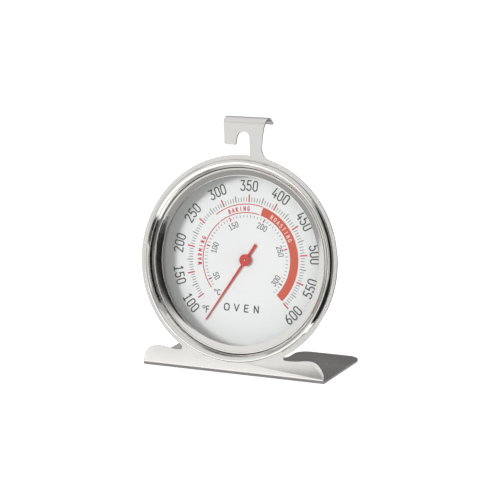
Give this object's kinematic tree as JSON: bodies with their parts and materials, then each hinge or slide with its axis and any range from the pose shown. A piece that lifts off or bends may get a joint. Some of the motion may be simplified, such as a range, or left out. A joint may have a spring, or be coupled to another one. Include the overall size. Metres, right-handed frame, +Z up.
{
  "type": "oven thermometer",
  "caption": "Round bimetal dial oven thermometer in a steel case, held by a bent steel bracket with a hanging hook above and a flat foot below.",
  "frame": {"origin": "middle of the foot, on its underside", "axes": "+Z up, the dial faces -Y, +X to the right of someone reading the dial"},
  "size_m": [0.086, 0.0462, 0.1034],
  "materials": {
    "satin_steel": "satin",
    "case_steel": "satin",
    "rivet_steel": "satin",
    "arbor_steel": "polished",
    "brass": "turned",
    "bimetal": "heat-tinted strip",
    "lens_glass": "clear",
    "dial_enamel": "satin white",
    "pointer_red": "satin red"
  },
  "bodies": {
    "case_and_stand": {"stand_bracket": "satin_steel", "case_cup": "case_steel", "bezel_ring": "satin_steel", "lens_ring": "satin_steel", "lens_glass": "lens_glass", "spacer_ring": "case_steel", "head_collar": "case_steel", "dial_plate": "dial_enamel", "movement_bridge": "case_steel", "bridge_rivet_left": "rivet_steel", "bridge_rivet_right": "rivet_steel", "anchor_rivet": "rivet_steel", "front_bush": "brass", "rear_bush": "brass", "coil_anchor": "case_steel"},
    "pointer": {"arbor": "arbor_steel", "coil_collet": "brass", "thrust_washer": "brass", "pointer_blade": "pointer_red", "pointer_hub": "pointer_red", "bimetal_coil": "bimetal"}
  },
  "joints": [
    {"name": "pointer_turn", "type": "hinge", "parent": "case_and_stand", "child": "pointer", "pos_m": [0, -0.00703, 0.0447], "axis": [0, 0.9903, -0.1392], "range_deg": [-15, 281], "stiffness_Nm_per_rad": 0.002, "deforming": ["bimetal_coil"]}
  ]
}
